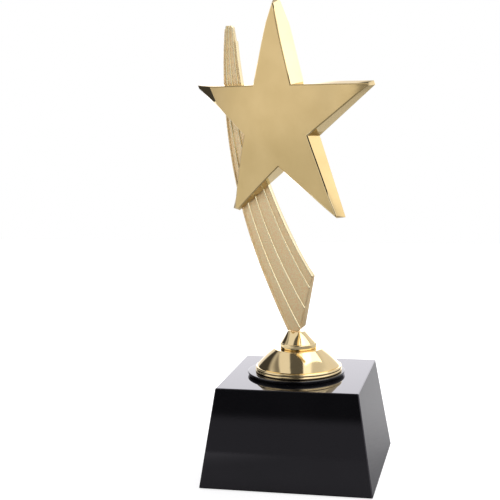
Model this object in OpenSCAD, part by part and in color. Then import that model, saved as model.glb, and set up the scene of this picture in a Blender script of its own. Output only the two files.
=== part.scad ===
// Star trophy: a domed star screwed to a curved ribbon, which stands on a turned collar
// and a bell riser. One threaded rod ties the figure to a weighted square pedestal.
// Origin: centre of the pedestal's resting face. +Z is up and -Y is the pedestal's front.

/* [Pedestal] */
// Side of the square at the foot
base_w = 80; // [76:1:90]
// Side of the square at the top
top_w = 66; // [62:1:70]
// Height of the top face above the table
base_h = 46.1; // [44:0.1:52]
// Wall thickness of the moulded shell
wall = 2.6; // [2:0.1:3]
// Thickness of the shell's top
top_t = 3.2; // [2.5:0.1:4]
// Distance of each cover screw from the middle
screw_pos = 27; // [26:0.5:27.5]

/* [Seat disc] */
// Radius of the black disc under the bell
disc_r = 23.2; // [21.5:0.1:25]
// Thickness of the disc
disc_t = 1.8; // [1:0.1:3]
// How far the disc sits off the rod's axis
disc_shift = -1.2; // [-1.5:0.1:1.5]

/* [Bell and collar] */
// Radius of the bell's rolled rim
bell_r = 20.7; // [19:0.1:21]
// Height of the bell
bell_h = 10.9; // [10.5:0.1:13]
// Radius of the bell's flat top
bell_top_r = 10.2; // [9.4:0.1:11]
// Radius of the collar's rounded foot
collar_r = 8.6; // [8:0.1:9]
// Height of the collar
collar_h = 7.8; // [7:0.1:9]

/* [Figure pose] */
// Turn of the figure about the rod, as it stands on the pedestal
figure_turn = -28.5; // [-180:0.5:180]
// Forward lean of the ribbon and star
lean = 4; // [0:0.5:6]

/* [Ribbon] */
// Radius of the arcs that form the ribbon's edges and ridges
arc_r = 198.5; // [190:0.5:210]
// Height of the ribbon's long end above the neck
ribbon_top = 145; // [140:1:150]
// Thickness of the plate behind the lanes
plate_t = 1.7; // [1.5:0.1:2]
// How far ridges and borders stand out of the lanes
ridge_h = 0.4; // [0.2:0.1:0.6]

/* [Star] */
// Height of the star's centre above the neck
star_z = 100.8; // [98:0.1:104]
// Tip radius of the back outline, before rounding
star_r = 60.5; // [58:0.5:62]
// Inner corner radius of the back outline
star_in = 22.4; // [21.5:0.1:23.5]
// Tip radius of the front outline, before rounding
face_r = 54; // [52:0.1:56]
// Inner corner radius of the front outline
face_in = 20; // [19:0.1:21]
// Thickness of the star at its centre
star_t = 7.4; // [7:0.1:8]
// Radius of the domed face
dome_r = 250; // [245:5:400]

/* [Hidden] */
$fn = 96;
eps = 0.02;

// Colours
black = [0.03, 0.03, 0.035];
gold = [0.86, 0.70, 0.38];
satin = [0.83, 0.72, 0.48];
steel = [0.70, 0.71, 0.72];
nylon = [0.90, 0.89, 0.84];

// Heights along the rod, from the table up
rim_z = 0.5;
felt_t = 1;
cover_z = felt_t;
cover_t = 2.5;
foam_z = cover_z + cover_t;
foam_t = 2;
ballast_z = foam_z + foam_t;
ballast_h = 14;
sleeve_z = 24;
slip_t = 1;
flat_t = 1.6;
lock_t = 1.6;
nut_h = 5;
flat_z = sleeve_z - slip_t - flat_t;
lock_z = flat_z - lock_t;
nut_z = lock_z - nut_h;
disc_z = base_h + disc_t;
bell_z = disc_z + bell_h;
neck_z = bell_z + collar_h;

// Rod and everything that it passes through, M6
rod_r = 2.95;
thread_r = 3.0;
clear_r = 3.2;
thread_depth = 0.55;
pitch = 1;
rod_z = nut_z - 2;
rod_top = bell_z + 3.3;
sleeve_r = 4.5;
boss_r = 7;
spigot_r = 5;
spigot_l = 6.2;
spigot_gap = 0.05;
jam_h = 3;
nut_af = 10;
washer_r = 9;
nut_room_r = 13;
boss_inset = 0.5;

// Cover screws and their bosses
boss_post_r = 3.5;
pilot_r = 1.3;
cover_screw_r = 1.25;
cover_head_r = 2.6;
cover_head_h = 1.4;
cover_pilot_l = 13;
cover_screw_l = 9;
ballast_w = 44;
felt_w = 70;
cover_gap = 0.2;

// Bell: a convex skirt between its rolled rim and its flat top
bell_wall = 1;
bore_r = spigot_r + spigot_gap;
skirt_foot = [bell_r - 1, 2.9];
skirt_head = [bell_top_r, bell_h - 0.25];
skirt_bulge = 0.7;
skirt_steps = 8;
rim_profile = [[-2.6, 0], [-0.8, 0], [-0.25, 0.3], [0, 0.9], [0, 1.8], [-0.3, 2.4], [-0.8, 2.7]];

// Collar: a rounded foot and a neck that the ribbon stands on
collar_foot_h = 2.1;
collar_round = 0.5;
neck_land = 0.4;

// Ribbon: two end arcs, given by the point where each runs straight up, and the ridges between
left_edge = [-35.7, 108.4];
right_edge = [-26, 145.1];
lane_split = [0, 0.24, 0.52, 0.82, 1];
front_v = -2;
lane_v = front_v + ridge_h;
back_v = lane_v + plate_t;
ridge_w = 0.55;
left_border = 0.9;
right_border = 0.7;
spine_v = 1.6;
spine_split = [0.36, 0.62];
foot_v = 2.9;
foot_left = -5;
foot_right = 1.9;
foot_w = 1.2;
wing = [11.8, 28.6];
wing_rise = 4;
step_w = 137.6;
tang = [4.4, 3, 3.2];
tang_u = -1.6;
tang_v = 0.5;

// Star, its wall and the two screws that hold it to the ribbon
tip_round = 2.3;
face_round = 1.1;
star_wall = 1.7;
hollow_round = 1;
lid_t = 1;
lid_gap = 0.1;
lid_round = 1.2;
dome_rings = 6;
tip_steps = 6;
// The back's triangles meet off centre, so that none of their edges runs through a hollow's corner
fan_u = 1;
screw_arm = [[162, 29], [234, 34]];
screw_boss_r = 3.1;
star_hole_l = 4.2;
star_screw_r = 1.45;
star_thread_r = 1.5;
star_clear_r = 1.65;
star_screw_l = 8;
star_head_r = 2.8;
star_head_h = 1.8;
star_washer_r = 3.3;
star_washer_t = 0.5;
land_r = star_washer_r + 0.6;

// Square frustum, exact on all four slopes
module frustum(foot, top, z0, z1) {
    side = [[-foot / 2, z0], [foot / 2, z0], [top / 2, z1], [-top / 2, z1]];
    intersection() {
        rotate([90, 0, 0]) linear_extrude(foot + 2, center = true) polygon(side);
        rotate([90, 0, 90]) linear_extrude(foot + 2, center = true) polygon(side);
    }
}

// Side of the pedestal's square at height z, inside a wall of thickness t
function side_at(z, t = 0) = base_w + (top_w - base_w) * (z - rim_z) / (base_h - rim_z) - 2 * t;

// Four copies, one in each corner of the pedestal
module corners() {
    for (x = [-1, 1], y = [-1, 1]) translate([x * screw_pos, y * screw_pos, 0]) children();
}

module tube(z0, z1, outer, inner) {
    difference() {
        translate([0, 0, z0]) cylinder(h = z1 - z0, r = outer);
        translate([0, 0, z0 - 1]) cylinder(h = z1 - z0 + 2, r = inner);
    }
}

module hex_ring(z, h) {
    difference() {
        translate([0, 0, z]) cylinder(h = h, r = nut_af / sqrt(3), $fn = 6);
        translate([0, 0, z - 1]) cylinder(h = h + 2, r = thread_r);
    }
}

module pedestal_shell() {
    color(black) difference() {
        union() {
            difference() {
                frustum(base_w, top_w, rim_z, base_h);
                frustum(side_at(rim_z - 1, wall), side_at(base_h - top_t, wall),
                        rim_z - 1, base_h - top_t);
            }
            translate([0, 0, sleeve_z + boss_inset])
                cylinder(h = base_h - sleeve_z - 2 * boss_inset, r = boss_r);
            corners() translate([0, 0, foam_z]) cylinder(h = base_h - foam_z - 1, r = boss_post_r);
        }
        cylinder(h = base_h + 1, r = sleeve_r);
        corners() translate([0, 0, foam_z - 1]) cylinder(h = cover_pilot_l, r = pilot_r);
    }
}

module rod_sleeve() {
    color(nylon) tube(sleeve_z, base_h, sleeve_r, thread_r);
}

module seat_disc() {
    edge = 0.5;
    color(black) translate([disc_shift, 0, base_h]) rotate_extrude()
        polygon([[spigot_r, 0], [disc_r, 0], [disc_r, disc_t - edge], [disc_r - edge, disc_t],
                 [spigot_r, disc_t]]);
}

module ballast_block() {
    color([0.32, 0.32, 0.33]) difference() {
        translate([-ballast_w / 2, -ballast_w / 2, ballast_z]) cube([ballast_w, ballast_w, ballast_h]);
        translate([0, 0, ballast_z - 1]) cylinder(h = ballast_h + 2, r = nut_room_r);
    }
}

module ballast_foam() {
    color([0.20, 0.20, 0.22]) difference() {
        translate([-ballast_w / 2, -ballast_w / 2, foam_z]) cube([ballast_w, ballast_w, foam_t]);
        translate([0, 0, foam_z - 1]) cylinder(h = foam_t + 2, r = nut_room_r);
    }
}

module bottom_cover() {
    w = side_at(cover_z + cover_t, wall) - 2 * cover_gap;
    color([0.07, 0.07, 0.07]) difference() {
        translate([-w / 2, -w / 2, cover_z]) cube([w, w, cover_t]);
        corners() translate([0, 0, cover_z - 1]) cylinder(h = cover_t + 2, r = pilot_r + 0.3);
        corners() translate([0, 0, cover_z - 1]) cylinder(h = cover_head_h + 1, r = cover_head_r + 0.1);
    }
}

module cover_screws() {
    slot = 0.6;
    color(steel) corners() difference() {
        union() {
            translate([0, 0, cover_z]) cylinder(h = cover_head_h, r = cover_head_r);
            translate([0, 0, cover_z]) cylinder(h = cover_head_h + cover_screw_l, r = cover_screw_r);
        }
        for (a = [0, 90]) rotate([0, 0, a])
            translate([-slot / 2, -1.5, cover_z - 1]) cube([slot, 3, 1.8]);
    }
}

module felt_pad() {
    color([0.12, 0.12, 0.13]) translate([-felt_w / 2, -felt_w / 2, 0]) cube([felt_w, felt_w, felt_t]);
}

// Point t of the way up the bell's skirt, moved in by off
function skirt(t, off) = let (
        a = skirt_foot + (skirt_head - skirt_foot) * t,
        d = (skirt_head - skirt_foot) / norm(skirt_head - skirt_foot),
        n = [d[1], -d[0]])
    a + n * (4 * skirt_bulge * t * (1 - t) - off);

module riser_bell() {
    steps = [for (i = [0:skirt_steps]) i / skirt_steps];
    outer = [for (t = steps) skirt(t, 0)];
    inner = [for (i = [skirt_steps:-1:0]) skirt(steps[i], bell_wall)];
    top = [[bell_top_r - 0.5, bell_h], [bore_r, bell_h], [bore_r, bell_h - bell_wall],
           [bell_top_r - 1, bell_h - bell_wall]];
    rim = [for (p = rim_profile) [bell_r + p[0], p[1]]];
    color(gold) translate([0, 0, disc_z]) rotate_extrude()
        polygon(concat(rim, outer, top, inner));
}

module in_figure() {
    rotate([0, 0, figure_turn]) translate([0, 0, neck_z]) rotate([lean, 0, 0]) children();
}

// Collar: spigot in the bell, rounded foot, and a cone that runs into the ribbon's foot
module collar() {
    neck = [foot_right - foot_left - neck_land, foot_v - front_v - neck_land];
    foot_z = bell_z + collar_foot_h;
    step_r = collar_r - collar_round;
    color(gold) difference() {
        union() {
            translate([0, 0, bell_z - spigot_l]) cylinder(h = spigot_l + 1, r = spigot_r);
            translate([0, 0, bell_z]) rotate_extrude()
                polygon([[0, 0], [step_r, 0], [collar_r, collar_round],
                         [collar_r, collar_foot_h - collar_round], [step_r, collar_foot_h],
                         [0, collar_foot_h]]);
            hull() {
                translate([0, 0, foot_z]) cylinder(h = eps, r = step_r, $fn = 32);
                rotate([0, 0, figure_turn])
                    translate([tang_u - neck[0] / 2, tang_v - neck[1] / 2, neck_z - neck_land])
                    cube([neck[0], neck[1], neck_land]);
            }
        }
        translate([0, 0, bell_z - spigot_l - 1])
            cylinder(h = rod_top - bell_z + spigot_l + 1.3, r = thread_r);
        rotate([0, 0, figure_turn])
            translate([tang_u - tang[0] / 2, tang_v - tang[1] / 2, neck_z - tang[2]])
            cube([tang[0], tang[1], tang[2] + 1]);
    }
}

module jam_nut() {
    color(steel) hex_ring(bell_z - spigot_l - jam_h, jam_h);
}

// Rod: smooth where it turns in the sleeve, threaded at both ends
module tie_rod() {
    low = floor(sleeve_z - rod_z);
    high = floor(rod_top - disc_z - 1);
    core = rod_r - thread_depth;
    bottom = [for (i = [0:low - 1], k = [0, 0.5]) [k == 0 ? core : rod_r, rod_z + (i + k) * pitch]];
    top = [for (i = [0:high - 1], k = [0.5, 1]) [k == 1 ? core : rod_r, rod_top - high + (i + k) * pitch]];
    color(steel) rotate_extrude()
        polygon(concat([[0, rod_z]], bottom, [[rod_r, rod_z + low]], [[rod_r, rod_top - high]], top,
                       [[0, rod_top]]));
}

module slip_washer() {
    color(nylon) tube(sleeve_z - slip_t, sleeve_z, washer_r, clear_r);
}

module flat_washer() {
    color(steel) tube(flat_z, flat_z + flat_t, washer_r, clear_r);
}

// Spring lock washer: a square-wire ring with a slit
module lock_washer() {
    outer = 5.5;
    slit = 0.9;
    color(steel) difference() {
        tube(lock_z, lock_z + lock_t, outer, clear_r);
        rotate([0, 0, 40]) translate([0, -slit / 2, lock_z - 1]) cube([outer + 1, slit, lock_t + 2]);
    }
}

module hex_nut() {
    color(steel) hex_ring(nut_z, nut_h);
}

// Disc whose edge is the arc of lane position t, from 0 at the left edge to 1 at the right
module lane_disc(t, shift = 0) {
    p = left_edge + (right_edge - left_edge) * t;
    translate([p[0] + arc_r + shift, p[1]]) circle(r = arc_r, $fn = 360);
}

// Strip of the ribbon's face between lane positions a and b, in its own u and w
module lane_strip(a, b, in_a = 0, in_b = 0) {
    difference() {
        lane_disc(a, in_a);
        lane_disc(b, in_b);
    }
}

// Where the ribbon starts and stops: the foot, the oblique cut to its wing, and the stepped top
module ribbon_window() {
    step_u = left_edge[0] + (right_edge[0] - left_edge[0]) * lane_split[3] + 0.5;
    polygon([[foot_left - 0.2, foot_w - 0.9], [foot_right - 0.2, foot_w - 0.9], wing,
             [wing[0], wing[1] + 60], [0, step_w - 1.2], [step_u + 3, step_w - 0.4], [step_u + 0.3, step_w],
             [step_u - 0.2, ribbon_top - 2.6], [step_u - 0.8, ribbon_top - 1], [step_u - 2.6, ribbon_top],
             [left_edge[0] + 4, ribbon_top - 0.1], [left_edge[0] + 2, ribbon_top - 1.4],
             [left_edge[0] - 6, ribbon_top - 20], [left_edge[0] - 6, 20]]);
}

// Extrudes a face drawn in u and w from depth v0 to depth v1
module plate(v0, v1) {
    translate([0, v1, 0]) rotate([90, 0, 0]) linear_extrude(v1 - v0) children();
}

module screw_places() {
    for (s = screw_arm)
        translate([s[1] * cos(s[0]), 0, star_z + s[1] * sin(s[0])]) rotate([90, 0, 0]) children();
}

module ribbon() {
    gusset = [[front_v, -2], [foot_v, -2], [foot_v, 3], [back_v, wing[1] + wing_rise],
              [front_v, wing[1] + wing_rise]];
    color(satin) in_figure() difference() {
        union() {
            plate(lane_v, back_v) intersection() {
                lane_strip(0, 1);
                ribbon_window();
            }
            plate(front_v, lane_v + eps) intersection() {
                union() {
                    lane_strip(0, 0, 0, left_border);
                    lane_strip(1, 1, -right_border, 0);
                    for (i = [1:3]) lane_strip(lane_split[i], lane_split[i], -ridge_w / 2, ridge_w / 2);
                }
                ribbon_window();
            }
            plate(back_v - eps, spine_v) intersection() {
                lane_strip(spine_split[0], spine_split[1]);
                ribbon_window();
                translate([-60, 0]) square([80, star_z + 25]);
            }
            intersection() {
                plate(lane_v, foot_v) intersection() {
                    lane_strip(0, 1);
                    ribbon_window();
                }
                translate([-40, 0, 0]) rotate([90, 0, 90]) linear_extrude(80) polygon(gusset);
            }
            translate([0, spine_v, 0]) screw_places() cylinder(h = spine_v - lane_v, r = land_r);
            rotate([-lean, 0, 0])
                translate([tang_u - tang[0] / 2, tang_v - tang[1] / 2, -tang[2]])
                cube([tang[0], tang[1], tang[2] + 2]);
        }
        translate([0, foot_v + 1, 0]) screw_places() cylinder(h = 10, r = star_clear_r);
    }
}

// Outline of a five-pointed star with rounded tips, starting at the top tip
function star_points(tip, inner, rounding) = let (
        half = atan(inner * sin(36) / (tip - inner * cos(36))),
        mid = tip - rounding / sin(half))
    [for (i = [0:4]) let (a = 90 + 72 * i)
        for (k = [0:tip_steps]) k < tip_steps
            ? let (b = a + (90 - half) * (2 * k / (tip_steps - 1) - 1))
                [mid * cos(a) + rounding * cos(b), mid * sin(a) + rounding * sin(b)]
            : [inner * cos(a + 36), inner * sin(a + 36)]];

// Scale that moves the edges of a star outline in by t
function inset(tip, inner, t) =
    1 - t * norm([tip - inner * cos(36), inner * sin(36)]) / (tip * inner * sin(36));

// Outline of the star's back, moved in by t
function back_outline(t, rounding) = let (k = inset(star_r, star_in, t))
    star_points(star_r * k, star_in * k, rounding);

// Outline of the star's face, moved in by t
function face_outline(t, rounding) = let (k = inset(face_r, face_in, t))
    star_points(face_r * k, face_in * k, rounding);

// Height of the domed face over the back plane at p, for a star that is t thick
function dome(p, t) = t - (p[0] * p[0] + p[1] * p[1]) / (2 * dome_r);

// Star solid standing on the u-w plane at depth v: flat back, slanted flanks, domed face
module star_body(back, face, t, v) {
    n = len(back);
    rings = [for (k = [dome_rings:-1:1], p = face) let (q = p * k / dome_rings)
        [q[0], v - dome(q, t), q[1]]];
    points = concat([for (p = back) [p[0], v, p[1]]], rings,
        [[0, v - t, 0], [fan_u, v, 0]]);
    centre = n * (dome_rings + 1);
    sides = [for (k = [0:dome_rings - 1], i = [0:n - 1], h = [0, 1]) let (j = (i + 1) % n)
        h == 0 ? [(k + 1) * n + j, k * n + j, k * n + i] : [(k + 1) * n + i, (k + 1) * n + j, k * n + i]];
    cap = [for (i = [0:n - 1]) [centre, dome_rings * n + (i + 1) % n, dome_rings * n + i]];
    rear = [for (i = [0:n - 1]) [centre + 1, i, (i + 1) % n]];
    translate([0, 0, star_z]) polyhedron(points, concat(sides, cap, rear), convexity = 6);
}

// Ball whose front is t behind the crown of the face
module dome_ball(t) {
    translate([0, front_v - star_t + t + dome_r, star_z]) sphere(r = dome_r, $fn = 360);
}

module star_casting() {
    color(satin) in_figure() difference() {
        union() {
            difference() {
                star_body(back_outline(0, tip_round), face_outline(0, face_round), star_t, front_v);
                intersection() {
                    dome_ball(star_wall);
                    translate([0, 0, star_z]) plate(front_v - star_t, front_v + 1)
                        polygon(face_outline(star_wall, hollow_round));
                }
                translate([0, 0, star_z]) plate(front_v - lid_t, front_v + 1)
                    polygon(back_outline(star_wall, lid_round));
            }
            intersection() {
                dome_ball(star_wall / 2);
                translate([0, front_v - lid_t, 0]) screw_places() cylinder(h = star_t, r = screw_boss_r);
            }
        }
        translate([0, front_v + 1, 0]) screw_places() cylinder(h = star_hole_l + 1, r = star_thread_r);
    }
}

module star_back_plate() {
    color(gold) in_figure() difference() {
        translate([0, 0, star_z]) plate(front_v - lid_t, front_v)
            polygon(back_outline(star_wall + lid_gap, lid_round));
        translate([0, front_v + 1, 0]) screw_places() cylinder(h = lid_t + 2, r = star_clear_r);
    }
}

module screw_washers() {
    color(steel) in_figure() difference() {
        translate([0, spine_v + star_washer_t, 0]) screw_places()
            cylinder(h = star_washer_t, r = star_washer_r);
        translate([0, foot_v + 1, 0]) screw_places() cylinder(h = 10, r = star_clear_r);
    }
}

// Pan head screws with a cross recess, driven from behind the ribbon
module star_screws() {
    head_v = spine_v + star_washer_t;
    slot = 0.7;
    color(steel) in_figure() difference() {
        translate([0, head_v + star_head_h, 0]) screw_places() {
            cylinder(h = star_head_h, r = star_head_r);
            cylinder(h = star_head_h + star_screw_l, r = star_screw_r);
        }
        translate([0, head_v + star_head_h + 1, 0]) screw_places() for (a = [0, 90]) rotate([0, 0, a])
            translate([-slot / 2, -1.7, 0]) cube([slot, 3.4, 2]);
    }
}

pedestal_shell();
rod_sleeve();
seat_disc();
ballast_block();
ballast_foam();
bottom_cover();
cover_screws();
felt_pad();
riser_bell();
collar();
jam_nut();
tie_rod();
slip_washer();
flat_washer();
lock_washer();
hex_nut();
ribbon();
star_casting();
star_back_plate();
star_screws();
screw_washers();
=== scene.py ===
import math

import bmesh
import bpy
from mathutils import Matrix, Vector


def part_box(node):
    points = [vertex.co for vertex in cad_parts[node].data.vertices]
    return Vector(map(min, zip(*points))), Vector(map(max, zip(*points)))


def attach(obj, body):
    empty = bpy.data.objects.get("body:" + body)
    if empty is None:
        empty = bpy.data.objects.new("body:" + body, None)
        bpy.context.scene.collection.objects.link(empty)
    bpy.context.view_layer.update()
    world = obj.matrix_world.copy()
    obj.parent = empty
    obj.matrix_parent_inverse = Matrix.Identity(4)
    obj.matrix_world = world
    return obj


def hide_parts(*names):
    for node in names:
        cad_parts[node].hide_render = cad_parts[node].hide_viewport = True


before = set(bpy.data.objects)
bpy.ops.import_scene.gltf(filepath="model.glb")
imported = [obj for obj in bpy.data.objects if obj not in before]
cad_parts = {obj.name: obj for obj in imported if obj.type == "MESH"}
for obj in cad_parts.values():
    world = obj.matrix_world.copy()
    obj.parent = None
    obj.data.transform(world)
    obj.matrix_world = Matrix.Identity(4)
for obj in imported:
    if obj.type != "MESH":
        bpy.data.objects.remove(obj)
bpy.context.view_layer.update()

MM = 0.001

# The photograph was taken from a little right of the front
VIEW_TURN = math.radians(-12.90)


# ---------------------------------------------------------------- sizes, in millimetres

# The figure stands turned on the pedestal and leans a little forward
FIGURE_TURN = math.radians(-28.5)
FIGURE_LEAN = math.radians(4)

# Pedestal: the side of its flat top, and how far its outer edges are rounded
PEDESTAL_TOP = 66.0
PEDESTAL_EDGE = 0.55

# Ribbon: the points where the arcs of its two edges run straight up, in u and w
ARC_R = 198.5
LEFT_EDGE = (-35.7, 108.4)
RIGHT_EDGE = (-26.0, 145.1)
RIDGES = (0.24, 0.52, 0.82)
RIDGE_W = 0.62
LEFT_BORDER = 0.9
RIGHT_BORDER = 0.45
GROOVE_W = 0.38
GROOVE_DEPTH = 0.4
FRONT_V = -2.0
LANE_V = -1.6
BACK_V = 0.1
SPINE_V = 1.6
SPINE = (0.36, 0.62)
SPINE_TOP = 125.8
FOOT_V = 2.9
FOOT_RIGHT = 1.7
FOOT_W = 0.3
WING = (11.8, 28.6)
GUSSET_TOP = 32.6
STEP_T = 0.87
STEP_W = 137.6
TOP_W = 145.0

# Star: height of its centre above the neck, and its thickness there
STAR_W = 100.8
STAR_T = 7.4
DOME_R = 250.0
LID_T = 1.0
LID_INSET = 1.7


# ---------------------------------------------------------------- node material helpers

def new_material(name):
    """A material with a shader, its node list and a link function."""
    mat = bpy.data.materials.new(name)
    mat.use_nodes = True
    nodes = mat.node_tree.nodes
    return mat, nodes, mat.node_tree.links, nodes["Principled BSDF"]


def texture(nodes, links, kind, scale, stretch=(1, 1, 1), **settings):
    """A noise or Voronoi texture in object space. scale is in repeats per metre."""
    place = nodes.new("ShaderNodeTexCoord")
    mapping = nodes.new("ShaderNodeMapping")
    mapping.inputs["Scale"].default_value = stretch
    node = nodes.new(kind)
    node.inputs["Scale"].default_value = scale
    for key, value in settings.items():
        node.inputs[key].default_value = value
    links.new(place.outputs["Object"], mapping.inputs["Vector"])
    links.new(mapping.outputs["Vector"], node.inputs["Vector"])
    return node.outputs[0]


def spread(nodes, links, source, low, high):
    """Maps a texture's value, 0 to 1, onto low to high."""
    node = nodes.new("ShaderNodeMapRange")
    node.inputs["To Min"].default_value = low
    node.inputs["To Max"].default_value = high
    links.new(source, node.inputs["Value"])
    return node.outputs["Result"]


def two_tone(nodes, links, source, dark, light, low=0.3, high=0.7):
    """Colours a texture's value from dark to light."""
    ramp = nodes.new("ShaderNodeValToRGB")
    ramp.color_ramp.elements[0].position = low
    ramp.color_ramp.elements[0].color = (*dark, 1)
    ramp.color_ramp.elements[1].position = high
    ramp.color_ramp.elements[1].color = (*light, 1)
    links.new(source, ramp.inputs["Fac"])
    return ramp.outputs["Color"]


def bump(nodes, links, source, height, strength=1.0, normal=None):
    """Bump of the given height in metres."""
    node = nodes.new("ShaderNodeBump")
    node.inputs["Strength"].default_value = strength
    node.inputs["Distance"].default_value = height
    links.new(source, node.inputs["Height"])
    if normal:
        links.new(normal, node.inputs["Normal"])
    return node.outputs["Normal"]


def metal(name, dark, light, rough, wave=0.0, grain=0.0, grain_scale=4000.0, stretch=(1, 1, 1)):
    """Metal with slow colour drift, uneven gloss, a faint polishing wave and a fine grain."""
    mat, nodes, links, shader = new_material(name)
    shader.inputs["Metallic"].default_value = 1.0
    drift = texture(nodes, links, "ShaderNodeTexNoise", 55, Detail=3.0)
    links.new(two_tone(nodes, links, drift, dark, light), shader.inputs["Base Color"])
    smear = texture(nodes, links, "ShaderNodeTexNoise", 160, stretch, Detail=5.0)
    links.new(spread(nodes, links, smear, rough[0], rough[1]), shader.inputs["Roughness"])
    normal = None
    if wave:
        slow = texture(nodes, links, "ShaderNodeTexNoise", 30, Detail=1.0)
        normal = bump(nodes, links, slow, wave)
    if grain:
        fine = texture(nodes, links, "ShaderNodeTexNoise", grain_scale, stretch, Detail=2.0)
        normal = bump(nodes, links, fine, grain, normal=normal)
    if normal:
        links.new(normal, shader.inputs["Normal"])
    return mat


def plastic(name, dark, light, rough, grain, ior=1.5, grain_scale=2500.0, tint=(1, 1, 1)):
    """Moulded plastic: nearly even colour, uneven gloss and a faint surface texture."""
    mat, nodes, links, shader = new_material(name)
    shader.inputs["IOR"].default_value = ior
    shader.inputs["Specular Tint"].default_value = (*tint, 1)
    drift = texture(nodes, links, "ShaderNodeTexNoise", 40, Detail=4.0)
    links.new(two_tone(nodes, links, drift, dark, light), shader.inputs["Base Color"])
    smear = texture(nodes, links, "ShaderNodeTexNoise", 90, Detail=6.0)
    links.new(spread(nodes, links, smear, rough[0], rough[1]), shader.inputs["Roughness"])
    fine = texture(nodes, links, "ShaderNodeTexNoise", grain_scale, Detail=2.0)
    links.new(bump(nodes, links, fine, grain), shader.inputs["Normal"])
    return mat


def sand_gold():
    """Stippled gold of the ribbon's lanes: small round pits packed close together."""
    mat, nodes, links, shader = new_material("gold_stipple")
    shader.inputs["Metallic"].default_value = 0.9
    pits = texture(nodes, links, "ShaderNodeTexVoronoi", 1700, Randomness=0.8)
    cloud = texture(nodes, links, "ShaderNodeTexNoise", 2600, Detail=3.0)
    links.new(two_tone(nodes, links, pits, (1.0, 0.90, 0.58), (0.98, 0.70, 0.37), 0.15, 0.65),
              shader.inputs["Base Color"])
    links.new(spread(nodes, links, cloud, 0.28, 0.44), shader.inputs["Roughness"])
    rough = bump(nodes, links, cloud, 0.00010)
    links.new(bump(nodes, links, pits, 0.00018, normal=rough), shader.inputs["Normal"])
    return mat


def felt_cloth():
    """Pressed felt: matted fibres, no weave."""
    mat, nodes, links, shader = new_material("felt_black")
    shader.inputs["Sheen Weight"].default_value = 0.35
    shader.inputs["Sheen Roughness"].default_value = 0.6
    fibres = texture(nodes, links, "ShaderNodeTexNoise", 3200, (1, 0.35, 1), Detail=6.0)
    links.new(two_tone(nodes, links, fibres, (0.012, 0.012, 0.014), (0.05, 0.05, 0.055)),
              shader.inputs["Base Color"])
    links.new(spread(nodes, links, fibres, 0.85, 1.0), shader.inputs["Roughness"])
    links.new(bump(nodes, links, fibres, 0.00025), shader.inputs["Normal"])
    return mat


POLISHED = metal("gold_polished", (0.91, 0.71, 0.37), (0.98, 0.79, 0.44), (0.05, 0.10), wave=0.00006)
BRIGHT = metal("gold_bright", (0.92, 0.72, 0.40), (1.0, 0.82, 0.50), (0.12, 0.20), wave=0.00004)
SATIN = metal("gold_satin", (0.69, 0.515, 0.232), (0.77, 0.585, 0.278), (0.26, 0.34), wave=0.00008,
              grain=0.000003, grain_scale=3000.0)
RIDGE = metal("gold_ridge", (1.0, 0.84, 0.50), (1.0, 0.92, 0.62), (0.22, 0.32), grain=0.00001,
              grain_scale=2500.0)
# Dark brown gold for the facets of the ribbon's groove: painted shade, not the metal's own colour.
GROOVE_PAINTED_SHADE = metal("gold_groove_painted_shade", (0.26, 0.18, 0.08), (0.38, 0.27, 0.13), (0.30, 0.42), grain=0.00001)
BRUSHED = metal("gold_brushed", (0.70, 0.50, 0.26), (0.82, 0.62, 0.34), (0.30, 0.42), grain=0.000012,
                grain_scale=1500.0, stretch=(1, 1, 0.05))
STIPPLE = sand_gold()
STEEL = metal("steel_zinc", (0.55, 0.56, 0.58), (0.70, 0.71, 0.73), (0.22, 0.36), grain=0.000008)
IRON = metal("iron_cast", (0.10, 0.10, 0.11), (0.20, 0.20, 0.21), (0.55, 0.75), grain=0.00015,
             grain_scale=900.0)
GLOSS = plastic("black_gloss", (0.0035, 0.0035, 0.0042), (0.006, 0.006, 0.007), (0.01, 0.03), 0.000001,
                ior=1.6, tint=(0.95, 0.92, 1.0))
DISC = plastic("black_disc", (0.004, 0.004, 0.005), (0.008, 0.008, 0.009), (0.03, 0.06), 0.000002, ior=1.6)
MATT = plastic("black_matt", (0.02, 0.02, 0.021), (0.035, 0.035, 0.037), (0.5, 0.65), 0.00003)
NYLON = plastic("nylon_white", (0.70, 0.68, 0.60), (0.80, 0.78, 0.71), (0.35, 0.5), 0.00001)
FOAM = plastic("foam_dark", (0.02, 0.02, 0.022), (0.045, 0.045, 0.05), (0.85, 0.98), 0.0003,
               grain_scale=1200.0)
FELT = felt_cloth()


# ---------------------------------------------------------------- mesh helpers

def finish_piece(name, points, faces, materials, body, replaced, picks=None, sharp=28):
    """Makes a piece from points in metres and faces, smooth but for edges sharper than sharp degrees."""
    mesh = bpy.data.meshes.new(name)
    mesh.from_pydata([tuple(p) for p in points], [], faces)
    for mat in materials:
        mesh.materials.append(mat)
    for i, face in enumerate(mesh.polygons):
        face.use_smooth = True
        if picks:
            face.material_index = picks[i]
    tidy = bmesh.new()
    tidy.from_mesh(mesh)
    bmesh.ops.remove_doubles(tidy, verts=tidy.verts, dist=1e-7)
    bmesh.ops.recalc_face_normals(tidy, faces=tidy.faces)
    tidy.to_mesh(mesh)
    tidy.free()
    mesh.set_sharp_from_angle(angle=math.radians(sharp))
    piece = bpy.data.objects.new(name, mesh)
    bpy.context.scene.collection.objects.link(piece)
    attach(piece, body)
    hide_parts(*replaced)
    return piece


def lathe(profile, centre, turns=160):
    """Points and faces of a closed profile of (radius, height) turned about the vertical through centre."""
    n = len(profile)
    points = []
    for k in range(turns):
        a = 2 * math.pi * k / turns
        points += [Vector((centre[0] + r * math.cos(a), centre[1] + r * math.sin(a), z)) * MM
                   for r, z in profile]
    faces = [(k * n + i, ((k + 1) % turns) * n + i, ((k + 1) % turns) * n + (i + 1) % n,
              k * n + (i + 1) % n) for k in range(turns) for i in range(n)]
    return points, faces


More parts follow.
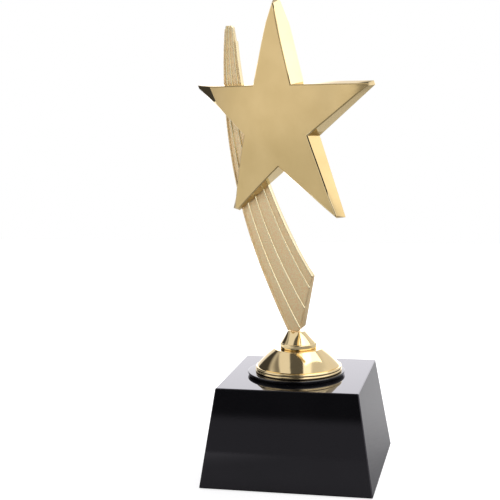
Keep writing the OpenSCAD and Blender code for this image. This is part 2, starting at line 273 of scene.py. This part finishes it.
def arc(centre, radius, start, end, steps):
    """Points of an arc, angles in degrees."""
    angles = [math.radians(start + (end - start) * k / steps) for k in range(steps + 1)]
    return [(centre[0] + radius * math.cos(a), centre[1] + radius * math.sin(a)) for a in angles]


def mm_box(node):
    """A CAD node's lowest and highest corners, in millimetres."""
    low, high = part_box(node)
    return low / MM, high / MM


shell_low, shell_high = mm_box("pedestal_shell")
disc_low, disc_high = mm_box("seat_disc")
bell_low, bell_high = mm_box("riser_bell")
collar_low, collar_high = mm_box("collar")
NECK_Z = collar_high.z
TO_WORLD = (Matrix.Rotation(FIGURE_TURN, 4, "Z") @ Matrix.Translation((0, 0, NECK_Z))
            @ Matrix.Rotation(FIGURE_LEAN, 4, "X"))


def in_figure(u, v, w):
    """A point of the figure, u right, v back and w up from the neck, in metres."""
    return TO_WORLD @ Vector((u, v, w)) * MM


# ---------------------------------------------------------------- pedestal

def pedestal():
    """A copy of the CAD shell, bosses and rod hole included, with its 12 outer edges rounded."""
    near = 0.02
    flat_angle = math.radians(0.2)
    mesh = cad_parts["pedestal_shell"].data.copy()
    mesh.name = "pedestal_moulding"
    mesh.materials.clear()
    mesh.materials.append(GLOSS)
    weld = bmesh.new()
    weld.from_mesh(mesh)
    bmesh.ops.remove_doubles(weld, verts=weld.verts, dist=1e-6)
    bmesh.ops.dissolve_limit(weld, angle_limit=flat_angle, verts=weld.verts, edges=weld.edges)
    layer = weld.edges.layers.float.new("bevel_weight_edge")
    slope = (shell_high.x - PEDESTAL_TOP / 2) / (shell_high.z - shell_low.z)
    corners = set()
    for vert in weld.verts:
        x, y, z = (abs(c) / MM for c in vert.co)
        side = shell_high.x - slope * (z - shell_low.z)
        if abs(x - side) < near and abs(y - side) < near:
            corners.add(vert)
    for edge in weld.edges:
        edge[layer] = 1.0 if set(edge.verts) <= corners else 0.0
    weld.to_mesh(mesh)
    weld.free()
    mesh.set_sharp_from_angle(angle=math.radians(30))
    piece = bpy.data.objects.new("pedestal_moulding", mesh)
    bpy.context.scene.collection.objects.link(piece)
    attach(piece, "pedestal")
    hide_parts("pedestal_shell")
    bevel = piece.modifiers.new("edges", "BEVEL")
    bevel.limit_method = "WEIGHT"
    bevel.width = PEDESTAL_EDGE * MM
    bevel.segments = 4
    bevel.harden_normals = True
    return piece


def seat_disc():
    """The black disc under the bell, with a small round above and a side that tapers in below."""
    r = (disc_high.x - disc_low.x) / 2
    centre = ((disc_high.x + disc_low.x) / 2, 0)
    bore = 5.0
    taper = 0.8
    soft = 0.4
    profile = [(bore, disc_low.z), (r - taper, disc_low.z), (r - 0.2, disc_low.z + taper)]
    profile += arc((r - soft, disc_high.z - soft), soft, -10, 90, 8)
    profile += [(r - 4, disc_high.z), (bore, disc_high.z)]
    points, faces = lathe(profile, centre)
    return finish_piece("seat_disc_turned", points, faces, [DISC], "pedestal", ["seat_disc"],
                        sharp=40)


# ---------------------------------------------------------------- bell and collar

def bell():
    """The turned bell: a rolled rim, a groove, a swelling skirt and a flat top."""
    r = bell_high.x
    z0 = bell_low.z
    top_r = 11.8
    h = bell_high.z - z0
    wall = 1.0
    bore = 5.05
    soft = 0.9
    foot = (r - 1.0, 2.95)
    lean = math.atan2(foot[0] - top_r, h - foot[1])
    head = (top_r, h - soft * (1 - math.sin(lean)))
    bulge = 0.35

    def skirt(t, inset):
        across = (head[0] - foot[0], head[1] - foot[1])
        length = math.hypot(*across)
        out = (across[1] / length, -across[0] / length)
        swell = 4 * bulge * t * (1 - t) - inset
        return (foot[0] + across[0] * t + out[0] * swell,
                z0 + foot[1] + across[1] * t + out[1] * swell)

    steps = [i / 20 for i in range(21)]
    profile = [(r - 2.6, z0), (r - 0.75, z0)]
    profile += arc((r - 0.68, z0 + 0.68), 0.68, -70, 55, 8)
    profile += [(r - 0.30, z0 + 1.32)]
    profile += arc((r - 0.85, z0 + 1.95), 0.72, -38, 66, 8)
    profile += [(r - 0.72, z0 + 2.64), (r - 1.05, z0 + 2.70)]
    profile += [skirt(t, 0) for t in steps]
    shoulder = arc((top_r - soft * math.cos(lean), z0 + h - soft), soft, math.degrees(lean), 90, 6)
    profile += shoulder[1:]
    profile += [(bore, z0 + h), (bore, z0 + h - wall), (top_r - 1, z0 + h - wall)]
    profile += [skirt(t, wall) for t in reversed(steps)]
    points, faces = lathe(profile, (0, 0), turns=192)
    return finish_piece("bell_turned", points, faces, [POLISHED], "figure", ["riser_bell"],
                        sharp=32)


def collar():
    """The collar: a spigot in the bell, a rounded foot, and a neck that narrows to the ribbon's foot."""
    z0 = bell_high.z
    foot_h = 2.8
    r = 8.6
    soft = 0.5
    spigot_r = 5.0
    bore = 3.0
    turns = 96
    profile = [(bore, collar_low.z), (spigot_r, collar_low.z), (spigot_r, z0), (r - soft, z0)]
    profile += arc((r - soft, z0 + soft), soft, -90, 0, 5)[1:]
    profile += arc((r - soft, z0 + foot_h - soft), soft, 0, 90, 5)
    n = len(profile)
    points = []
    for k in range(turns):
        a = 2 * math.pi * k / turns
        points += [Vector((q * math.cos(a), q * math.sin(a), z)) * MM for q, z in profile]
    half_u, half_v = 3.7, 2.5
    middle = Vector((-1.55, 0.45))
    levels = 14
    for level in range(levels + 1):
        t = level / levels
        ring = []
        for k in range(turns):
            a = 2 * math.pi * k / turns - FIGURE_TURN
            power = 2 + 4 * t * t
            c, s = math.cos(a), math.sin(a)
            grow = (abs(c) ** power + abs(s) ** power) ** (-1 / power)
            start = Vector((c, s)) * (r - soft + 0.1)
            end = middle + Vector((half_u * c * grow, half_v * s * grow))
            ease = t - 0.03 * math.sin(math.pi * t)
            spot = start.lerp(end, ease)
            spot.rotate(Matrix.Rotation(FIGURE_TURN, 2))
            ring.append(Vector((spot.x, spot.y, z0 + foot_h + (NECK_Z - z0 - foot_h) * t)) * MM)
        points += ring
    base = turns * n
    faces = [(k * n + i, ((k + 1) % turns) * n + i, ((k + 1) % turns) * n + i + 1, k * n + i + 1)
             for k in range(turns) for i in range(n - 1)]
    faces += [(k * n + n - 1, ((k + 1) % turns) * n + n - 1, base + (k + 1) % turns, base + k)
              for k in range(turns)]
    faces += [(base + j * turns + k, base + j * turns + (k + 1) % turns,
               base + (j + 1) * turns + (k + 1) % turns, base + (j + 1) * turns + k)
              for j in range(levels) for k in range(turns)]
    top = base + levels * turns
    roof = len(points)
    points.append(Vector((0, 0, NECK_Z - 4.1)) * MM)
    faces += [(k * n, roof, ((k + 1) % turns) * n) for k in range(turns)]
    crown = len(points)
    spot = middle.copy()
    spot.rotate(Matrix.Rotation(FIGURE_TURN, 2))
    points.append(Vector((spot.x, spot.y, NECK_Z)) * MM)
    faces += [(top + k, top + (k + 1) % turns, crown) for k in range(turns)]
    return finish_piece("collar_turned", points, faces, [POLISHED], "figure", ["collar"],
                        sharp=35)


# ---------------------------------------------------------------- ribbon

def edge_u(t, w):
    """u of the ribbon's curve at lane position t, 0 at the left edge and 1 at the right, at height w."""
    start_u = LEFT_EDGE[0] + (RIGHT_EDGE[0] - LEFT_EDGE[0]) * t
    start_w = LEFT_EDGE[1] + (RIGHT_EDGE[1] - LEFT_EDGE[1]) * t
    u = start_u + ARC_R - math.sqrt(ARC_R ** 2 - (w - start_w) ** 2)
    flare = max(0.0, 1 - w / 26) ** 2
    return u - 1.3 * flare * (1 - t)


def edge_lean(t, w):
    """Horizontal distance that one millimetre across the curve at t takes at height w."""
    slope = (edge_u(t, w + 0.5) - edge_u(t, w - 0.5))
    return math.hypot(1, slope)


def cut_w(u):
    """Height of the oblique cut from the foot to the wing, at u."""
    return FOOT_W + max(0.0, u - FOOT_RIGHT) * (WING[1] - FOOT_W) / (WING[0] - FOOT_RIGHT)


def smooth_step(x):
    """0 below 0, 1 above 1, and a smooth rise between."""
    x = min(1.0, max(0.0, x))
    return x * x * (3 - 2 * x)


def ribbon_top(t):
    """The long left part and the shorter right part, with a steep shoulder between them."""
    long_end = TOP_W - 1.4 * max(0.0, 1 - t / 0.3) ** 2 - 1.6 * max(0.0, (t - 0.62) / (STEP_T - 0.62)) ** 2
    return STEP_W + (long_end - STEP_W) * (1 - smooth_step((t - STEP_T + 0.012) / 0.024))


def station_bottom(t, across):
    """Height at which the curve at t, moved across millimetres to the right, meets the foot's cut."""
    low, high = FOOT_W, WING[1] + 8
    for _ in range(40):
        mid = (low + high) / 2
        if cut_w(edge_u(t, mid) + across * edge_lean(t, mid)) > mid:
            low = mid
        else:
            high = mid
    return high


def ribbon_stations():
    """Stations round the section, front from left to right and back from right to left.

    Each is (lane position, millimetres across, depth or None for the back's own depth, material pick).
    """
    lane, ridge, back_gold, groove = range(4)
    rise = FRONT_V - LANE_V
    front = [(0, 0.0, FRONT_V + 0.42, ridge), (0, 0.06, FRONT_V + 0.16, ridge),
             (0, 0.24, FRONT_V, lane), (0, LEFT_BORDER - 0.2, FRONT_V, lane),
             (0, LEFT_BORDER, LANE_V + rise * 0.6, lane), (0, LEFT_BORDER + 0.12, LANE_V + 0.1, lane)]
    lanes = (0,) + RIDGES + (1,)
    half = RIDGE_W / 2
    ridge_foot = half + 0.12
    groove_start = -RIGHT_BORDER - GROOVE_W
    lane_starts = (LEFT_BORDER + 0.12, ridge_foot, ridge_foot, ridge_foot)
    lane_ends = (-ridge_foot, -ridge_foot, -ridge_foot, groove_start)
    for i in range(4):
        span = lanes[i + 1] - lanes[i]
        for share in (0.30, 0.45, 0.60, 0.75):
            sag = 0.10 * (1 - ((share - 0.52) / 0.5) ** 2)
            across = lane_starts[i] * (1 - share) + lane_ends[i] * share
            front.append((lanes[i] + span * share, across, LANE_V + sag, lane))
        if i < 3:
            t = lanes[i + 1]
            front += [(t, -ridge_foot, LANE_V + 0.1, ridge),
                      (t, -half + 0.02, LANE_V + rise * 0.7, ridge),
                      (t, -0.1, FRONT_V, ridge), (t, 0.1, FRONT_V, ridge),
                      (t, half - 0.02, LANE_V + rise * 0.7, ridge),
                      (t, ridge_foot, LANE_V + 0.1, lane)]
    # The groove's facets take the dark brown material, which paints shade into the groove.
    front += [(1, groove_start, LANE_V + 0.05, groove),
              (1, -RIGHT_BORDER - 0.26, LANE_V + GROOVE_DEPTH, groove),
              (1, -RIGHT_BORDER - 0.1, LANE_V + GROOVE_DEPTH, groove),
              (1, -RIGHT_BORDER, LANE_V + rise * 0.3, ridge),
              (1, -RIGHT_BORDER + 0.14, FRONT_V, ridge), (1, -0.22, FRONT_V, ridge),
              (1, -0.06, FRONT_V + 0.14, ridge), (1, 0.0, FRONT_V + 0.4, ridge)]
    back = [(t, across, None, back_gold) for t, across in (
        (1, 0.0), (1, -0.3), (0.9, 0), (0.8, 0), (0.7, 0), (SPINE[1], 0.35), (SPINE[1], 0.05),
        (SPINE[1], -0.3), (0.5, 0), (SPINE[0], 0.3), (SPINE[0], -0.05), (SPINE[0], -0.35), (0.25, 0),
        (0.12, 0), (0, 0.3), (0, 0.0))]
    return front, back


def back_depth(t, across, w):
    """Depth of the ribbon's back: thin at the edges, with a spine, and thicker towards the foot."""
    swell = 0.0
    on_spine = (SPINE[0] < t < SPINE[1] or (t == SPINE[1] and across <= 0.05)
                or (t == SPINE[0] and across >= -0.05))
    if on_spine:
        full = 1.0 if abs(across) != 0.05 else 0.82
        swell = (SPINE_V - BACK_V) * full * smooth_step((SPINE_TOP - w) / 1.2)
    gusset = FOOT_V + (BACK_V - FOOT_V) * min(1.0, max(0.0, (w - 3) / (GUSSET_TOP - 3)))
    depth = max(BACK_V + swell, gusset)
    if t in (0, 1) and across == 0:
        depth -= 0.3
    return depth


def ribbon():
    """The cast ribbon: four stippled lanes between ridges, and a groove inside the right border whose facets
    are coloured dark brown as painted shade.

    Each end is closed by triangles between the front's points and the back's, from left to right.
    """
    front, back = ribbon_stations()
    stations = front + back
    rows = 190
    ends = (0.0, 0.06, 0.16, 0.32)
    pull = (0.30, 0.14, 0.04, 0.0)
    n = len(stations)
    columns = []
    for t, across, v, _ in stations:
        low = station_bottom(t, across)
        high = ribbon_top(t)
        inner = [low + ends[-1] + (high - low - 2 * ends[-1]) * k / rows for k in range(1, rows)]
        heights = [low + e for e in ends] + inner + [high - e for e in reversed(ends)]
        last = len(heights) - 1
        column = []
        for k, w in enumerate(heights):
            depth = v if v is not None else back_depth(t, across, w)
            inset = pull[k] if k < len(pull) else (pull[last - k] if last - k < len(pull) else 0.0)
            depth += inset if depth < -0.8 else -inset
            column.append((edge_u(t, w) + across * edge_lean(t, w), depth, w))
        columns.append(column)
    count = len(columns[0])
    flat = [p for column in columns for p in column]
    points = [in_figure(*p) for p in flat]
    faces = []
    picks = []
    for i in range(n):
        j = (i + 1) % n
        for k in range(count - 1):
            faces.append((i * count + k, j * count + k, j * count + k + 1, i * count + k + 1))
            picks.append(stations[i][3])
    for k in (0, count - 1):
        along = [u if k == 0 else edge_u(t, STEP_W) + across * edge_lean(t, STEP_W)
                 for (u, _, _), (t, across, _, _) in zip(flat[k::count], stations)]
        i, j = 0, n - 1
        while i < len(front) - 1 or j > len(front):
            if j == len(front) or (i < len(front) - 1 and along[i + 1] <= along[j - 1]):
                faces.append((i * count + k, (i + 1) * count + k, j * count + k))
                i += 1
            else:
                faces.append((i * count + k, (j - 1) * count + k, j * count + k))
                j -= 1
            picks.append(0 if k == 0 else 1)
    return finish_piece("ribbon_cast", points, faces, [STIPPLE, RIDGE, BRIGHT, GROOVE_PAINTED_SHADE], "figure", ["ribbon"],
                        picks=picks, sharp=38)


# ---------------------------------------------------------------- star

# Corners of the star from its top tip round to the left, as (u, w) from its centre.
# They were read off the photograph on the star's plane, and don't come from the frame.
# A tip is two corners, because each is cut blunt. The face is the satin front, the rim the back edge.
FACE = [((1.6, 52.6), (0.5, 52.6)), ((-2.9, 44.5),), ((-11.4, 16.6),), ((-41.8, 16.3), (-36.7, 7.7)),
        ((-18.9, -6.2),), ((-31.8, -42.0), (-29.4, -42.6)), ((0.9, -20.6),), ((29.5, -42.8), (30.5, -42.2)),
        ((18.9, -6.3),), ((50.3, 15.0), (49.8, 16.1)), ((10.9, 16.5),), ((3.9, 43.0),)]
RIM = [((2.7, 54.2), (-1.2, 54.4)), ((-5.6, 45.0),), ((-13.0, 17.4),), ((-51.9, 16.8), (-51.3, 15.2)),
       ((-21.2, -7.0),), ((-34.0, -42.6), (-30.0, -43.4)), ((-1.2, -23.9),), ((28.2, -43.9), (33.2, -43.2)),
       ((21.1, -6.9),), ((52.4, 15.2), (51.8, 17.0)), ((13.5, 17.4),), ((7.2, 43.6),)]


def star_depth(u, w):
    """Depth of the domed face behind the crown. The upper and lower right tips stand a little forward."""
    r = math.hypot(u, w)
    forward = (0.42 * smooth_step((w - 14) / 26) * smooth_step((30 - u) / 12)
               + 0.28 * smooth_step((u - w - 34) / 30) * smooth_step(-w / 12)
               + 0.25 * smooth_step((u - 30) / 16) * smooth_step((w + 6) / 12))
    side_tip = max(0.0, u - 44) / 7
    return r * r / (2 * DOME_R) * (1 - forward) + 0.9 * side_tip * side_tip


def star_outline(corners, inset=0.0, per_side=12, per_tip=4):
    """Points round a star outline, moved in by inset millimetres, with the same count for every outline."""
    flat = [Vector(p) for group in corners for p in group]
    counts = [count for group in corners for count in [per_tip] * (len(group) - 1) + [per_side]]
    n = len(flat)
    moved = []
    for i in range(n):
        before = (flat[i] - flat[i - 1]).normalized()
        after = (flat[(i + 1) % n] - flat[i]).normalized()
        normal_a = Vector((-before.y, before.x))
        normal_b = Vector((-after.y, after.x))
        total = normal_a + normal_b
        moved.append(flat[i] + total * (inset / (total.length_squared / 2)))
    out = []
    for i in range(n):
        a, b = moved[i], moved[(i + 1) % n]
        out += [a.lerp(b, k / counts[i]) for k in range(counts[i])]
    return out


def star():
    """The star: domed face, flanks part polished and part satin, and a pocket for the plate.

    It is solid behind the pocket. Which flanks are satin follows their tone in the photograph.
    """
    edge = 0.7
    rim_soft = 0.45
    rings = []
    zones = []
    face = star_outline(FACE)
    face_in = star_outline(FACE, edge)
    rim = star_outline(RIM)
    rim_in = star_outline(RIM, rim_soft)
    lid = star_outline(RIM, LID_INSET + 0.1)

    def front(p, lift=0.0):
        return FRONT_V - STAR_T + star_depth(p.x, p.y) + lift

    levels = 26
    for k in range(levels, 0, -1):
        share = math.sin(0.5 * math.pi * k / levels) if k < levels else 1.0
        ring = [p * share for p in face_in]
        rings.append([(p.x, front(p), p.y) for p in ring])
        zones.append(0)
    rings.reverse()
    zones.reverse()
    zones[-1] = 1
    rings.append([(q.x * 0.65 + p.x * 0.35, front(q, 0.05), q.y * 0.65 + p.y * 0.35)
                  for p, q in zip(face, face_in)])
    zones.append(1)
    rings.append([(p.x, front(q, 0.42), p.y) for p, q in zip(face, face_in)])
    zones.append(1)
    for share in (0.25, 0.5, 0.75):
        rings.append([(p.x + (q.x - p.x) * share,
                       front(i, 0.42) + (FRONT_V - rim_soft - front(i, 0.42)) * share,
                       p.y + (q.y - p.y) * share) for p, q, i in zip(face, rim, face_in)])
        zones.append(1)
    rings.append([(q.x, FRONT_V - rim_soft, q.y) for q in rim])
    zones.append(1)
    rings.append([(q.x * 0.7 + i.x * 0.3, FRONT_V - rim_soft * 0.3, q.y * 0.7 + i.y * 0.3)
                  for q, i in zip(rim, rim_in)])
    zones.append(1)
    rings.append([(i.x, FRONT_V, i.y) for i in rim_in])
    zones.append(1)
    rings.append([(q.x, FRONT_V, q.y) for q in lid])
    zones.append(1)
    rings.append([(q.x, FRONT_V - LID_T, q.y) for q in lid])
    zones.append(1)
    n = len(face)
    points = [in_figure(u, v, w + STAR_W) for ring in rings for u, v, w in ring]
    faces = []
    picks = []
    for k in range(len(rings) - 1):
        for i in range(n):
            j = (i + 1) % n
            faces.append((k * n + i, k * n + j, (k + 1) * n + j, (k + 1) * n + i))
            u, _, w = rings[k + 1][i]
            satin_flank = (u < -20 and w < -10) or (u > 15 and w < -5.5 and k > levels)
            satin_edge = k <= levels and not (u < 2 and w > 18) and not (u > 17 and w < -6)
            picks.append(0 if satin_flank or satin_edge else zones[k])
    crown = len(points)
    points.append(in_figure(0, FRONT_V - STAR_T, STAR_W))
    faces += [(crown, (i + 1) % n, i) for i in range(n)]
    picks += [0] * n
    pocket = len(points)
    points.append(in_figure(0, FRONT_V - LID_T, STAR_W))
    last = (len(rings) - 1) * n
    faces += [(pocket, last + i, last + (i + 1) % n) for i in range(n)]
    picks += [1] * n
    return finish_piece("star_cast", points, faces, [SATIN, POLISHED], "figure", ["star_casting"],
                        picks=picks, sharp=24)


# ---------------------------------------------------------------- CAD pieces that keep their shape

def dress(node, mat):
    """Gives a CAD node its material."""
    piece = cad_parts[node]
    if not piece.material_slots:
        piece.data.materials.append(mat)
    for holder in piece.material_slots:
        holder.material = mat


for name, mat in {
    "rod_sleeve": NYLON, "slip_washer": NYLON, "ballast_block": IRON, "ballast_foam": FOAM,
    "bottom_cover": MATT, "felt_pad": FELT, "cover_screws": STEEL, "jam_nut": STEEL,
    "tie_rod": STEEL, "flat_washer": STEEL, "lock_washer": STEEL, "hex_nut": STEEL,
    "star_screws": STEEL, "screw_washers": STEEL, "star_back_plate": BRUSHED,
}.items():
    dress(name, mat)

pedestal()
seat_disc()
bell()
collar()
ribbon()
star()


# ---------------------------------------------------------------- floor, studio light and camera

def floor():
    """A pale floor that glows white for the camera, with two brighter areas seen in reflections."""
    mesh = bpy.data.meshes.new("studio_floor")
    half = 0.8
    mesh.from_pydata([(-half, -half, 0), (half, -half, 0), (half, half, 0), (-half, half, 0)], [],
                     [(0, 1, 2, 3)])
    mat, nodes, links, shader = new_material("floor_paper")
    grain = texture(nodes, links, "ShaderNodeTexNoise", 300, Detail=3.0)
    links.new(two_tone(nodes, links, grain, (0.34, 0.34, 0.34), (0.37, 0.37, 0.37)),
              shader.inputs["Base Color"])
    shader.inputs["Roughness"].default_value = 0.9
    shader.inputs["Emission Color"].default_value = (1, 1, 1, 1)
    path = nodes.new("ShaderNodeLightPath")
    glow = nodes.new("ShaderNodeMath")
    glow.operation = "MULTIPLY"
    glow.inputs[1].default_value = 0.8
    links.new(path.outputs["Is Camera Ray"], glow.inputs[0])
    spot = nodes.new("ShaderNodeTexCoord")
    place = nodes.new("ShaderNodeSeparateXYZ")
    links.new(spot.outputs["Object"], place.inputs["Vector"])
    total = glow.outputs[0]
    for axis, start, end, level in (("Y", -0.05, 0.15, 0.3), ("X", -0.1, -0.28, 0.42)):
        side = nodes.new("ShaderNodeMapRange")
        side.interpolation_type = "SMOOTHSTEP"
        side.inputs["From Min"].default_value = start
        side.inputs["From Max"].default_value = end
        side.inputs["To Max"].default_value = level
        links.new(place.outputs[axis], side.inputs["Value"])
        both = nodes.new("ShaderNodeMath")
        links.new(total, both.inputs[0])
        links.new(side.outputs["Result"], both.inputs[1])
        total = both.outputs[0]
    links.new(total, shader.inputs["Emission Strength"])
    mesh.materials.append(mat)
    piece = bpy.data.objects.new("studio_floor", mesh)
    bpy.context.scene.collection.objects.link(piece)


def softbox(name, azimuth, height, distance, size, power):
    """A rectangular soft light that faces the middle of the trophy. Azimuth in degrees from +X."""
    light = bpy.data.lights.new(name, "AREA")
    light.shape = "RECTANGLE"
    light.size, light.size_y = size
    light.energy = power
    lamp = bpy.data.objects.new(name, light)
    a = math.radians(azimuth)
    lamp.location = (distance * math.cos(a), distance * math.sin(a), height)
    aim = Vector((0, 0, 0.12)) - lamp.location
    lamp.rotation_euler = aim.to_track_quat("-Z", "Y").to_euler()
    bpy.context.scene.collection.objects.link(lamp)


def degrees_of(nodes, links, rise, run):
    """The angle, in degrees, of the slope rise over run."""
    turn = nodes.new("ShaderNodeMath")
    turn.operation = "ARCTAN2"
    links.new(rise, turn.inputs[0])
    links.new(run, turn.inputs[1])
    scaled = nodes.new("ShaderNodeMath")
    scaled.operation = "MULTIPLY"
    scaled.inputs[1].default_value = 180 / math.pi
    links.new(turn.outputs[0], scaled.inputs[0])
    return scaled.outputs[0]


def window(nodes, links, angle, low, high, soft):
    """1 where the angle lies between low and high, with soft ends."""
    ends = []
    for edge, start, end in ((low, 0, 1), (high, 1, 0)):
        node = nodes.new("ShaderNodeMapRange")
        node.interpolation_type = "SMOOTHSTEP"
        node.inputs["From Min"].default_value = edge - soft
        node.inputs["From Max"].default_value = edge + soft
        node.inputs["To Min"].default_value = start
        node.inputs["To Max"].default_value = end
        links.new(angle, node.inputs["Value"])
        ends.append(node.outputs["Result"])
    return product(nodes, links, *ends)


def product(nodes, links, a, b):
    """The product of two values."""
    node = nodes.new("ShaderNodeMath")
    node.operation = "MULTIPLY"
    links.new(a, node.inputs[0])
    links.new(b, node.inputs[1])
    return node.outputs[0]


# The studio round the trophy: walls by bearing (0 is the front, 90 the right, -90 the left) and height,
# then the ceiling's strips by their tilt from overhead, right positive. All angles in degrees:
# from, to, softness, lowest, highest, softness, brightness. They lie where the gloss reflects to the
# camera, so that its light and dark areas fall as in the photograph.
WALLS = ((-200, -142, 5, -90, 90, 5, 0.9), (-200, -154, 5, -90, 24, 5, 2.3),
         (-138, -92, 3, -90, 38, 6, 0.05), (-88, -46, 6, -90, 90, 5, 1.0), (-42, 14, 6, -90, 90, 5, 0.04),
         (-42, 14, 6, -90, 0.55, 0.25, 0.28), (18, 112, 5, -90, 90, 5, 1.0), (23, 100, 4, 14, 44, 6, 1.7),
         (112, 200, 5, -90, 90, 5, 0.8), (163, 200, 5, -90, 24, 5, 2.3))
CEILING = ((-75, -50, 4, 0.7), (-50, -36, 3, 0.22), (-36, -18, 2.5, 0.8), (-18, 9, 2, 0.10),
           (9, 25, 2, 1.2), (25, 52, 4, 0.65), (52, 75, 4, 0.9))
CEILING_FROM = 42


def studio_world():
    """A white tent with softboxes and darker gaps, seen in the reflections. The camera sees plain white."""
    world = bpy.data.worlds.new("studio")
    world.use_nodes = True
    bpy.context.scene.world = world
    nodes, links = world.node_tree.nodes, world.node_tree.links
    backdrop = nodes["Background"]
    place = nodes.new("ShaderNodeTexCoord")
    turned = nodes.new("ShaderNodeVectorRotate")
    turned.rotation_type = "Z_AXIS"
    turned.inputs["Angle"].default_value = VIEW_TURN
    split = nodes.new("ShaderNodeSeparateXYZ")
    plain = nodes.new("ShaderNodeSeparateXYZ")
    links.new(place.outputs["Generated"], turned.inputs["Vector"])
    links.new(turned.outputs["Vector"], split.inputs["Vector"])
    links.new(place.outputs["Generated"], plain.inputs["Vector"])
    front = nodes.new("ShaderNodeMath")
    front.operation = "MULTIPLY"
    front.inputs[1].default_value = -1
    links.new(plain.outputs["Y"], front.inputs[0])
    bearing = degrees_of(nodes, links, plain.outputs["X"], front.outputs[0])
    flat = nodes.new("ShaderNodeVectorMath")
    flat.operation = "MULTIPLY"
    flat.inputs[1].default_value = (1, 1, 0)
    links.new(place.outputs["Generated"], flat.inputs[0])
    reach = nodes.new("ShaderNodeVectorMath")
    reach.operation = "LENGTH"
    links.new(flat.outputs["Vector"], reach.inputs[0])
    height = degrees_of(nodes, links, plain.outputs["Z"], reach.outputs["Value"])
    tilt = degrees_of(nodes, links, split.outputs["X"], split.outputs["Z"])
    overhead = window(nodes, links, height, CEILING_FROM, 120, 7)
    value = None
    cards = [(product(nodes, links, window(nodes, links, bearing, a, b, s),
                      window(nodes, links, height, low, high, t)), level)
             for a, b, s, low, high, t, level in WALLS]
    cards += [(product(nodes, links, window(nodes, links, tilt, a, b, s), overhead), level)
              for a, b, s, level in CEILING]
    for mask, level in cards:
        mix = nodes.new("ShaderNodeMix")
        mix.inputs["A"].default_value = 0.8
        mix.inputs["B"].default_value = level
        links.new(mask, mix.inputs["Factor"])
        if value:
            links.new(value, mix.inputs["A"])
        value = mix.outputs["Result"]
    path = nodes.new("ShaderNodeLightPath")
    shown = nodes.new("ShaderNodeMix")
    shown.data_type = "RGBA"
    shown.inputs["B"].default_value = (1, 1, 1, 1)
    links.new(path.outputs["Is Camera Ray"], shown.inputs["Factor"])
    tinted = nodes.new("ShaderNodeVectorMath")
    tinted.operation = "SCALE"
    tinted.inputs[0].default_value = (0.995, 0.98, 1.03)
    links.new(value, tinted.inputs["Scale"])
    links.new(tinted.outputs["Vector"], shown.inputs["A"])
    links.new(shown.outputs["Result"], backdrop.inputs["Color"])
    backdrop.inputs["Strength"].default_value = 1.0


def camera():
    """The camera, at the place and angle that the photograph was taken from."""
    place = Vector((95.10, -514.98, 179.22)) * MM
    pitch, roll = math.radians(7.94), math.radians(-1.11)
    to_camera = (Matrix.Rotation(roll, 3, "Y") @ Matrix.Rotation(pitch, 3, "X")
                 @ Matrix.Rotation(VIEW_TURN, 3, "Z"))
    back = to_camera.transposed()
    right, ahead, up = (back @ Vector(axis) for axis in ((1, 0, 0), (0, 1, 0), (0, 0, 1)))
    data = bpy.data.cameras.new("camera")
    data.sensor_width = 36
    data.lens = 80.56
    data.clip_start = 0.01
    data.clip_end = 20
    eye = bpy.data.objects.new("camera", data)
    turn = Matrix((right, up, -ahead)).transposed()
    eye.matrix_world = Matrix.Translation(place) @ turn.to_4x4()
    bpy.context.scene.collection.objects.link(eye)
    bpy.context.scene.camera = eye


floor()
studio_world()
softbox("overhead", 60, 1.5, 0.5, (1.2, 1.2), 6)
camera()
bpy.context.scene.view_settings.view_transform = "Standard"
